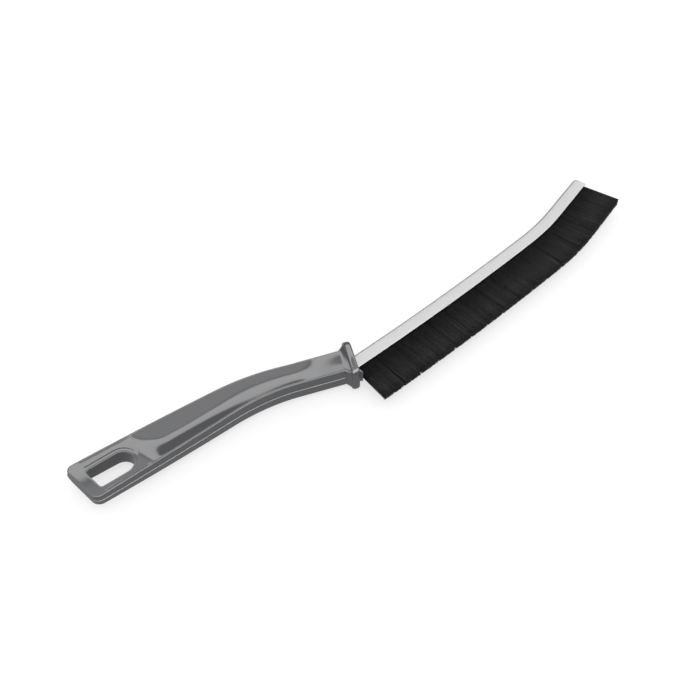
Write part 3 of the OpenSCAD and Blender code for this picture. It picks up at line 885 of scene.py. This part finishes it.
def make_channel(material):
    """The folded strip with its tang, swept along the bow and the hook to the round tip."""
    tang = strip_section(BACK_N, BACK_N - TANG_H, False)
    full = strip_section(BACK_N, LIP_N, True)
    sections = [(-TANG_LEN, tang), (0.0, tang), (NOTCH_RUN, full)]
    sections += [(s, full) for s in head_stations(NOTCH_RUN, HEAD_LEN - TIP_R)[1:]]
    for i in range(1, 9):
        a = math.radians(90 * i / 8)
        sections.append((HEAD_LEN - TIP_R * (1 - math.sin(a)),
                         strip_section(BACK_N - TIP_R * (1 - math.cos(a)), LIP_N, True)))
    points, faces = skin([set_up(outline, s) for s, outline in sections])
    channel = new_piece("folded_channel", points, faces, material, "channel_steel", 30.0)
    outward(channel)
    lay_strip_map(channel, sections)
    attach(channel, "root")
    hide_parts("steel_channel")


def lay_strip_map(channel, sections):
    """A UV map in millimetres: u along the strip, v round its section."""
    count = len(sections[0][1])
    around = [0.0]
    for a, b in zip(sections[3][1], sections[3][1][1:]):
        around.append(around[-1] + math.dist(a, b))
    layer = channel.data.uv_layers.new(name="strip")
    for loop in channel.data.loops:
        row, place = divmod(loop.vertex_index, count)
        layer.data[loop.index].uv = (sections[row][0], around[place])


def make_fold(material):
    """The filaments' fold over the core wire, which is seen only at the channel's open tip."""
    gap, lip_gap, r, split = 0.04, 0.06, 0.42, 0.12
    half, top = CAVITY_T / 2 - gap, CAVITY_N - gap
    low, wire_r = LIP_N + ROOT_IN, WIRE_D / 2 + 0.05
    outer = [(low, MOUTH_T / 2 - lip_gap), (LIP_N + LIP_H + lip_gap, MOUTH_T / 2 - lip_gap),
             (LIP_N + LIP_H + 0.1, half)]
    for i in range(5):
        a = math.radians(90 * i / 4)
        outer.append((top - r + r * math.sin(a), half - r + r * math.cos(a)))
    inner = [(low, split), (LIP_N + LIP_H + lip_gap, split), (WIRE_N - wire_r, split)]
    for i in range(5):
        a = math.radians(-70 + 160 * i / 4)
        inner.append((WIRE_N + wire_r * math.sin(a), wire_r * math.cos(a)))
    outer[-1], inner[-1] = (top, 0.0), (WIRE_N + wire_r, 0.0)
    section = outer + [(n, -z) for n, z in reversed(outer[:-1])]
    back = inner + [(n, -z) for n, z in reversed(inner[:-1])]
    rings = [set_up(section + back[::-1], s) for s in head_stations(BED_START, BED_END - 0.2)]
    fold = new_piece("filament_fold", *skin(rings), material, "filament_nylon")
    outward(fold)
    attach(fold, "root")


class Wiring:
    """Shorthand for building a geometry tree."""

    def __init__(self, name):
        self.tree = bpy.data.node_groups.new(name, "GeometryNodeTree")
        self.given = self.tree.nodes.new("NodeGroupInput")

    def input(self, name, kind, value=None):
        socket = self.tree.interface.new_socket(name, in_out="INPUT", socket_type=kind)
        if value is not None:
            socket.default_value = value
        return self.given.outputs[name]

    def node(self, kind, settings=None, **inputs):
        node = self.tree.nodes.new(kind)
        for key, value in (settings or {}).items():
            setattr(node, key, value)
        for key, value in inputs.items():
            self.feed(node.inputs[key.replace("_", " ")], value)
        return node

    def feed(self, socket, value):
        if isinstance(value, bpy.types.NodeSocket):
            self.tree.links.new(value, socket)
        else:
            socket.default_value = value

    def math(self, operation, *values):
        node = self.tree.nodes.new("ShaderNodeMath")
        node.operation = operation
        for socket, value in zip(node.inputs, values):
            self.feed(socket, value)
        return node.outputs["Value"]

    def vector(self, operation, *values, scale=None):
        node = self.tree.nodes.new("ShaderNodeVectorMath")
        node.operation = operation
        for socket, value in zip(node.inputs, values):
            self.feed(socket, value)
        if scale is not None:
            self.feed(node.inputs["Scale"], scale)
        return node.outputs["Vector"]

    def random(self, low, high, seed, count_from):
        node = self.tree.nodes.new("FunctionNodeRandomValue")
        node.data_type = "FLOAT"
        floats = [i for i in node.inputs if i.type == "VALUE" and i.enabled]
        self.feed(floats[0], low)
        self.feed(floats[1], high)
        self.feed(node.inputs["ID"], count_from)
        self.feed(node.inputs["Seed"], seed)
        return next(o for o in node.outputs if o.type == "VALUE" and o.enabled)


def strand_tree():
    """Strands that stand in rows along a curve, which runs along the channel's mouth."""
    w = Wiring("filament_rows")
    guide = w.input("Guide", "NodeSocketGeometry")
    along = w.input("Strands Along", "NodeSocketInt", 100)
    across = w.input("Strands Across", "NodeSocketInt", 9)
    root_width = w.input("Root Width", "NodeSocketFloat", 0.002)
    tip_width = w.input("Tip Width", "NodeSocketFloat", 0.003)
    length = w.input("Strand Length", "NodeSocketFloat", 0.017)
    uneven = w.input("Uneven Length", "NodeSocketFloat", 0.0003)
    thick = w.input("Strand Radius", "NodeSocketFloat", 0.0001)
    lean_start = w.input("Lean At Start", "NodeSocketFloat", 0.0)
    lean_end = w.input("Lean At End", "NodeSocketFloat", 0.0)
    stray = w.input("Stray", "NodeSocketFloat", 0.0002)
    seed = w.input("Seed", "NodeSocketInt", 1)
    material = w.input("Material", "NodeSocketMaterial")
    w.tree.interface.new_socket("Strands", in_out="OUTPUT", socket_type="NodeSocketGeometry")

    # Points along the curve, which remember its direction and their share of its length,
    # each repeated for the rows
    index = w.node("GeometryNodeInputIndex").outputs["Index"]
    points = w.node("GeometryNodeCurveToPoints", {"mode": "COUNT"}, Curve=guide, Count=along)
    kept = w.node("GeometryNodeStoreNamedAttribute", {"data_type": "FLOAT_VECTOR"},
                  Geometry=points.outputs["Points"], Name="run", Value=points.outputs["Tangent"])
    share = w.math("DIVIDE", index, w.math("SUBTRACT", along, 1.0))
    kept = w.node("GeometryNodeStoreNamedAttribute", {"data_type": "FLOAT"},
                  Geometry=kept.outputs["Geometry"], Name="share", Value=share)
    rows = w.node("GeometryNodeDuplicateElements", {"domain": "POINT"},
                  Geometry=kept.outputs["Geometry"], Amount=across)
    run = w.node("GeometryNodeInputNamedAttribute", {"data_type": "FLOAT_VECTOR"},
                 Name="run").outputs["Attribute"]
    share = w.node("GeometryNodeInputNamedAttribute", {"data_type": "FLOAT"},
                   Name="share").outputs["Attribute"]
    rows = w.node("GeometryNodeStoreNamedAttribute", {"data_type": "FLOAT"},
                  Geometry=rows.outputs["Geometry"], Name="row",
                  Value=rows.outputs["Duplicate Index"]).outputs["Geometry"]
    row = w.node("GeometryNodeInputNamedAttribute", {"data_type": "FLOAT"},
                 Name="row").outputs["Attribute"]

    # Where each strand stands, how far it reaches and where it aims, with a draw for each
    seeds = [w.math("ADD", seed, float(100 * k)) for k in range(5)]
    r_across = w.random(-0.5, 0.5, seeds[0], index)
    r_along = w.random(-1.0, 1.0, seeds[1], index)
    r_length = w.random(-1.0, 1.0, seeds[2], index)
    r_lean = w.random(-1.0, 1.0, seeds[3], index)
    r_side = w.random(-1.0, 1.0, seeds[4], index)
    place = w.math("SUBTRACT", w.math("DIVIDE", w.math(
        "ADD", w.math("ADD", row, 0.5), w.math("MULTIPLY", r_across, 0.7)), across), 0.5)
    up = w.vector("CROSS_PRODUCT", (0.0, 0.0, 1.0), run)
    stray_along = w.math("MULTIPLY", r_along, w.math("MULTIPLY", stray, 0.6))
    root = w.vector("ADD", w.node("ShaderNodeCombineXYZ", Z=w.math("MULTIPLY", place, root_width)
                                  ).outputs["Vector"],
                    w.vector("SCALE", run, scale=stray_along))
    moved = w.node("GeometryNodeSetPosition", Geometry=rows, Offset=root)
    lean = w.math("ADD", w.math("MULTIPLY", r_lean, stray),
                  w.math("ADD", w.math("MULTIPLY", lean_end, w.math("MULTIPLY", share, share)),
                         w.math("MULTIPLY", lean_start, w.math("POWER", w.math(
                             "SUBTRACT", 1.0, share), 2.0))))
    fall = w.vector("SCALE", up, scale=w.math("MULTIPLY", w.math(
        "ADD", length, w.math("MULTIPLY", r_length, uneven)), -1.0))
    side = w.math("ADD", w.math("MULTIPLY", place, w.math("SUBTRACT", tip_width, root_width)),
                  w.math("MULTIPLY", r_side, w.math("MULTIPLY", stray, 0.6)))
    aim = w.vector("ADD", w.vector("ADD", fall, w.vector("SCALE", run, scale=lean)),
                   w.node("ShaderNodeCombineXYZ", Z=side).outputs["Vector"])
    turn = w.node("FunctionNodeAlignRotationToVector", {"axis": "Z"}, Vector=aim)
    reach = w.tree.nodes.new("ShaderNodeVectorMath")
    reach.operation = "LENGTH"
    w.feed(reach.inputs[0], aim)
    size = w.node("ShaderNodeCombineXYZ", X=thick, Y=thick, Z=reach.outputs["Value"])
    strand = w.node("GeometryNodeMeshCone", {"fill_type": "TRIANGLE_FAN"}, Vertices=5,
                    Side_Segments=1, Fill_Segments=1, Radius_Top=0.86, Radius_Bottom=1.0, Depth=1.0)
    smooth_strand = w.node("GeometryNodeSetShadeSmooth", Geometry=strand.outputs["Mesh"])
    placed = w.node("GeometryNodeInstanceOnPoints", Points=moved.outputs["Geometry"],
                    Instance=smooth_strand.outputs["Geometry"],
                    Rotation=turn.outputs["Rotation"], Scale=size.outputs["Vector"])
    real = w.node("GeometryNodeRealizeInstances", Geometry=placed.outputs["Instances"])
    painted = w.node("GeometryNodeSetMaterial", Geometry=real.outputs["Geometry"],
                     Material=material)
    out = w.tree.nodes.new("NodeGroupOutput")
    w.tree.links.new(painted.outputs["Geometry"], out.inputs["Strands"])
    return w.tree


def guide_curve(name, start, end, height):
    """A poly curve along the channel at a height from its centre line."""
    curve = bpy.data.curves.new(name, "CURVE")
    curve.dimensions = "3D"
    spline = curve.splines.new("POLY")
    path = [set_up([(height, 0.0)], s)[0] for s in head_stations(start, end, 1.0)]
    spline.points.add(len(path) - 1)
    for point, p in zip(spline.points, path):
        point.co = (*[MM * c for c in p], 1.0)
    thing = bpy.data.objects.new(name, curve)
    scene.collection.objects.link(thing)
    return thing


def bundle_runs():
    """Start and end of each bundle along the channel."""
    ends = (BED_START, BOW_LEN, HOOK_END, BED_END + PARTING)
    runs = []
    for start, end, count in zip(ends, ends[1:], BUNDLES):
        pitch = (end - start) / count
        runs += [(start + i * pitch, start + (i + 1) * pitch - PARTING) for i in range(count)]
    return runs


def make_bundle(number, start, end, tree, material):
    """One bundle: strands in rows along its run, gathered towards its middle. Those at the
    bed's two ends lean outwards."""
    guide = guide_curve(f"guide_{number:02d}", start + BUNDLE_GAP, end - BUNDLE_GAP,
                        LIP_N + ROOT_IN)
    first, last = number == 1, number == sum(BUNDLES)
    inputs = {
        "Strands Along": int((end - start) / STRAND_PITCH), "Strands Across": STRAND_ROWS,
        "Root Width": ROOT_WIDTH * MM, "Tip Width": TIP_WIDTH * MM,
        "Strand Length": (BED_LEN + ROOT_IN - TIP_SHORT) * MM, "Uneven Length": UNEVEN * MM,
        "Strand Radius": STRAND_R * MM, "Stray": STRAY * MM,
        "Lean At Start": (FIRST_LEAN if first else GATHER) * MM,
        "Lean At End": (LAST_LEAN if last else -GATHER) * MM,
        "Seed": number, "Material": material}
    rows = guide.modifiers.new("rows", "NODES")
    rows.node_group = tree
    for item in tree.interface.items_tree:
        if item.in_out == "INPUT" and item.name in inputs:
            rows[item.identifier] = inputs[item.name]
    graph = bpy.context.evaluated_depsgraph_get()
    mesh = bpy.data.meshes.new_from_object(guide.evaluated_get(graph))
    bpy.data.objects.remove(guide)
    piece = bpy.data.objects.new(f"filaments_{number:02d}", mesh)
    scene.collection.objects.link(piece)
    for name in ("run", "share", "row"):
        if name in mesh.attributes:
            mesh.attributes.remove(mesh.attributes[name])
    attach(piece, "root")
    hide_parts(f"filament_bundle_{number:02d}")


def main():
    make_camera()
    make_studio()
    make_floor()
    scene.view_settings.view_transform = "Standard"
    marks = surface_marks_group()
    make_handle(handle_material(marks))
    make_channel(channel_material(marks))
    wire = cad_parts["core_wire"]
    wire.data.materials.clear()
    wire.data.materials.append(wire_material(marks))
    nylon = filament_material()
    make_fold(nylon)
    tree = strand_tree()
    for number, (start, end) in enumerate(bundle_runs(), 1):
        make_bundle(number, start, end, tree, nylon)


main()
